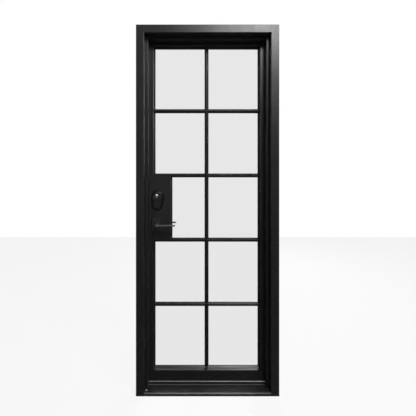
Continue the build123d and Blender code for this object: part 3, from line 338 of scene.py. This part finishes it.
ROWS = 5
FINISHES = (
    (FRAME_PAINT, ("jamb_lock_side", "jamb_hinge_side", "head", "frame_stops", "frame_hinge_barrels")),
    (SILL_PAINT, ("sill", "sill_stop")),
    (LEAF_PAINT, ("lock_stile", "hinge_stile", "top_rail", "bottom_rail", "leaf_hinge_barrels")),
    (LEAF_PAINT, ("centre_bar", "lock_box", "glazing_beads")),
    (LEAF_PAINT, [f"cross_bar_{row}" for row in range(1, ROWS)]),
    (GLASS, [f"glass_row{row}_{side}" for row in range(1, ROWS + 1) for side in ("left", "right")]),
    (RUBBER, ("seal_lock_side", "seal_hinge_side", "seal_head", "seal_sill")),
    (HARDWARE, ("outside_rose", "inside_rose", "key_collar", "thumb_turn_plate", "thumb_turn")),
    (LEVER_METAL, ("outside_lever", "inside_lever")),
    (COVER_METAL, ("lock_cover",)),
    (KEY_FACE, ("key_plug",)),
    (LOCK_STEEL, ("latch_strike", "latch_faceplate", "latch_hub", "latch_bolt")),
    (LOCK_STEEL, ("deadbolt_strike", "deadbolt_faceplate", "deadbolt", "hinge_pins")),
    (ZINC_STEEL, ("latch_case", "deadbolt_case", "spindle", "faceplate_screws")),
    (ZINC_STEEL, ("wall_sleeves_lock_side", "wall_sleeves_hinge_side", "strike_boxes", "strike_screws")),
    (BRONZE, ("hinge_washers",)),
)
finish_of = {name: finish for finish, names in FINISHES for name in names}
for name, node in NODES.items():
    node.data.materials.clear()
    node.data.materials.append(finish_of[name])


def screw_head(name, centre, radius, rise, finish):
    """Domed screw head with a round socket, seen from above.

    Height over its seat at a share r of its radius: rise times the root of 1 less (rim times r) squared, less
    a socket that is socket_depth times the rise deep within socket_edge, and 0 at the edge. Parameters: r and
    the angle. The middle is one point.
    """
    rings, steps = 25, 48
    rim, socket_depth, socket_edge, socket_steepness = 0.92, 0.5, 0.4, 60.0

    def height(r):
        dome = np.sqrt(1.0 - (rim * r) ** 2)
        return rise * (dome - socket_depth / (1.0 + np.exp((r - socket_edge) * socket_steepness)))

    r = np.linspace(0.0, 1.0, rings + 1)[1:, None]
    angle = np.linspace(0.0, 2 * math.pi, steps, endpoint=False)[None, :]
    x = centre[0] + radius * r * np.cos(angle)
    y = centre[1] + radius * r * np.sin(angle)
    z = np.broadcast_to(centre[2] + height(r), (rings, steps)).copy()
    z[-1] = centre[2]
    middle = [[centre[0], centre[1], centre[2] + height(0.0)]]
    points = np.concatenate([middle, np.stack([x, y, z], axis=-1).reshape(-1, 3)])
    ring, step = np.meshgrid(np.arange(rings - 1), np.arange(steps), indexing="ij")
    after = (step + 1) % steps
    inner = 1 + ring * steps
    outer = inner + steps
    quads = np.stack([inner + step, outer + step, outer + after, inner + after], axis=-1).reshape(-1, 4)
    spokes = np.arange(steps)
    fan = np.stack([np.zeros_like(spokes), 1 + spokes, 1 + (spokes + 1) % steps], axis=-1)
    mesh = bpy.data.meshes.new(name)
    mesh.from_pydata(points.tolist(), [], fan.tolist() + quads.tolist())
    mesh.shade_smooth()
    mesh.materials.append(finish)
    made = bpy.data.objects.new(name, mesh)
    bpy.context.scene.collection.objects.link(made)
    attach(made, "frame")


SCREW_RISE = 0.0026
SCREW_DEPTH = SILL_FRONT + 0.0288
LOCK_SCREW = (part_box("jamb_lock_side")[1][0] + 0.010, SCREW_DEPTH, TREAD_TOP)
HINGE_SCREW = (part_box("jamb_hinge_side")[0][0] - 0.015, SCREW_DEPTH, TREAD_TOP)
screw_head("sill_screw_lock_side", LOCK_SCREW, 0.0052, SCREW_RISE, SCREW_STEEL)
screw_head("sill_screw_hinge_side", HINGE_SCREW, 0.0048, SCREW_RISE, FRAME_PAINT)


def seen_straight(tree, path):
    """1 for the camera and through the glass."""
    return math_node(tree, "MAXIMUM", path.outputs["Is Camera Ray"], path.outputs["Is Transmission Ray"])


def first_sight(tree, path):
    """1 where the surface is seen straight or only through glass, 0 in reflections and in bounced light."""
    bounces = math_node(tree, "ADD", path.outputs["Glossy Depth"], path.outputs["Diffuse Depth"])
    unbounced = math_node(tree, "LESS_THAN", bounces, 0.5)
    return math_node(tree, "MULTIPLY", seen_straight(tree, path), unbounced)


def white_glow(tree, strength):
    """A white shader that gives off its own light, where a strength of 1 is white."""
    glow = tree.nodes.new("ShaderNodeEmission")
    put(tree, (1.0, 1.0, 1.0), glow.inputs["Color"])
    tree.links.new(strength, glow.inputs["Strength"])
    return glow


def floor_material(name, lit, white, mirrored):
    """Pale floor. Seen straight it is mostly white, and the rest shows how it is lit, so shadows stay."""
    material, tree, shader = new_material(name)
    cloud = between(tree, noise(tree, position(tree), 3.0, 4.0), 0.3, 0.7)
    dimmed = 0.96
    pale = (lit, lit, lit)
    darker = tuple(dimmed * part for part in pale)
    tree.links.new(mix_colours(tree, cloud, pale, darker), shader.inputs["Base Color"])
    shader.inputs["Roughness"].default_value = 0.9
    shader.inputs["Specular IOR Level"].default_value = 0.1
    path = tree.nodes.new("ShaderNodeLightPath")
    seen = first_sight(tree, path)
    glow = white_glow(tree, math_node(tree, "MAXIMUM", seen, mirrored))
    share = math_node(tree, "MULTIPLY", seen, white)
    mix_shaders(tree, math_node(tree, "MAXIMUM", share, path.outputs["Is Glossy Ray"]), shader, glow)
    return material


def backdrop_material(name, lit, mirrored_low, mirrored_high):
    """White to the camera and through the glass, else a plain pale surface.

    In reflections its brightness rises from mirrored_low near the floor to mirrored_high above the door.
    """
    ramp_start, ramp_end = 0.4, 2.6
    material, tree, shader = new_material(name, "ShaderNodeBsdfDiffuse")
    put(tree, (lit, lit, lit), shader.inputs["Color"])
    split = tree.nodes.new("ShaderNodeSeparateXYZ")
    tree.links.new(position(tree), split.inputs[0])
    mirrored = remap(tree, split.outputs["Z"], ramp_start, ramp_end, mirrored_low, mirrored_high)
    path = tree.nodes.new("ShaderNodeLightPath")
    glow = white_glow(tree, math_node(tree, "MAXIMUM", first_sight(tree, path), mirrored))
    share = math_node(tree, "MAXIMUM", seen_straight(tree, path), path.outputs["Is Glossy Ray"])
    mix_shaders(tree, share, shader, glow)
    return material


def plane(name, corners, material):
    """A four-cornered stage surface."""
    mesh = bpy.data.meshes.new(name)
    mesh.from_pydata(corners, [], [(0, 1, 2, 3)])
    mesh.materials.append(material)
    made = bpy.data.objects.new(name, mesh)
    bpy.context.scene.collection.objects.link(made)


def area_light(name, place, aim, width, height, watts):
    """Soft rectangular white light aimed at a point."""
    lamp = bpy.data.lights.new(name, "AREA")
    lamp.shape = "RECTANGLE"
    lamp.size = width
    lamp.size_y = height
    lamp.energy = watts
    made = bpy.data.objects.new(name, lamp)
    bpy.context.scene.collection.objects.link(made)
    made.location = place
    gap = [a - b for a, b in zip(aim, place)]
    flat = math.hypot(gap[0], gap[1])
    made.rotation_euler = (math.atan2(flat, -gap[2]), 0.0, math.atan2(gap[1], gap[0]) - math.pi / 2)
    return made


FLOOR = floor_material("pale_floor", 0.8, 0.88, 0.06)
BACKDROP = backdrop_material("white_backdrop", 0.8, 0.1, 1.0)
plane("floor", [(-9, -6, -0.002), (9, -6, -0.002), (9, 9, -0.002), (-9, 9, -0.002)], FLOOR)
plane("backdrop", [(-9, 5, -4), (9, 5, -4), (9, 5, 12), (-9, 5, 12)], BACKDROP)

# The key light stands high on the hinge side, so that the panes don't mirror it to the camera. The smallest
# light brings out the key's face, and the back light the ledge under the bottom panes.
area_light("key_light", (1.08, -2.1, 3.88), (0.25, 0.0, 1.7), 1.55, 0.7, 97.0)
area_light("side_light", (3.0, -2.2, 2.9), (0.2, 0.0, 1.0), 1.5, 1.5, 6.0)
area_light("key_face_light", (-0.61, -2.25, 1.19), (-0.345, 0.0, 1.333), 0.12, 0.12, 0.5)
back_light = area_light("back_light", (1.4, 3.4, 2.7), (0.2, 0.0, 0.2), 1.3, 1.0, 75.0)
back_light.visible_camera = False
back_light.visible_transmission = False

ROOM_LIGHT = 0.1
world = bpy.data.worlds.new("pale_room")
bpy.context.scene.world = world
world.use_nodes = True
room_tree = world.node_tree
room = room_tree.nodes["Background"]
put(room_tree, (1.0, 1.0, 1.0), room.inputs["Color"])
room_seen = first_sight(room_tree, room_tree.nodes.new("ShaderNodeLightPath"))
put(room_tree, math_node(room_tree, "MAXIMUM", room_seen, ROOM_LIGHT), room.inputs["Strength"])

# The camera looks straight along the door's depth, and the lens shift brings the whole door into the frame.
camera_data = bpy.data.cameras.new("camera")
camera = bpy.data.objects.new("camera", camera_data)
bpy.context.scene.collection.objects.link(camera)
bpy.context.scene.camera = camera
camera.location = (-0.1015, -1.9872, 1.4594)
camera.rotation_euler = (math.pi / 2, 0.0, 0.0)
camera_data.sensor_width = 36.0
camera_data.lens = 24.878
camera_data.shift_x = 0.03761
camera_data.shift_y = -0.07457
camera_data.clip_start = 0.05
camera_data.clip_end = 60.0

bpy.context.scene.view_settings.view_transform = "Standard"
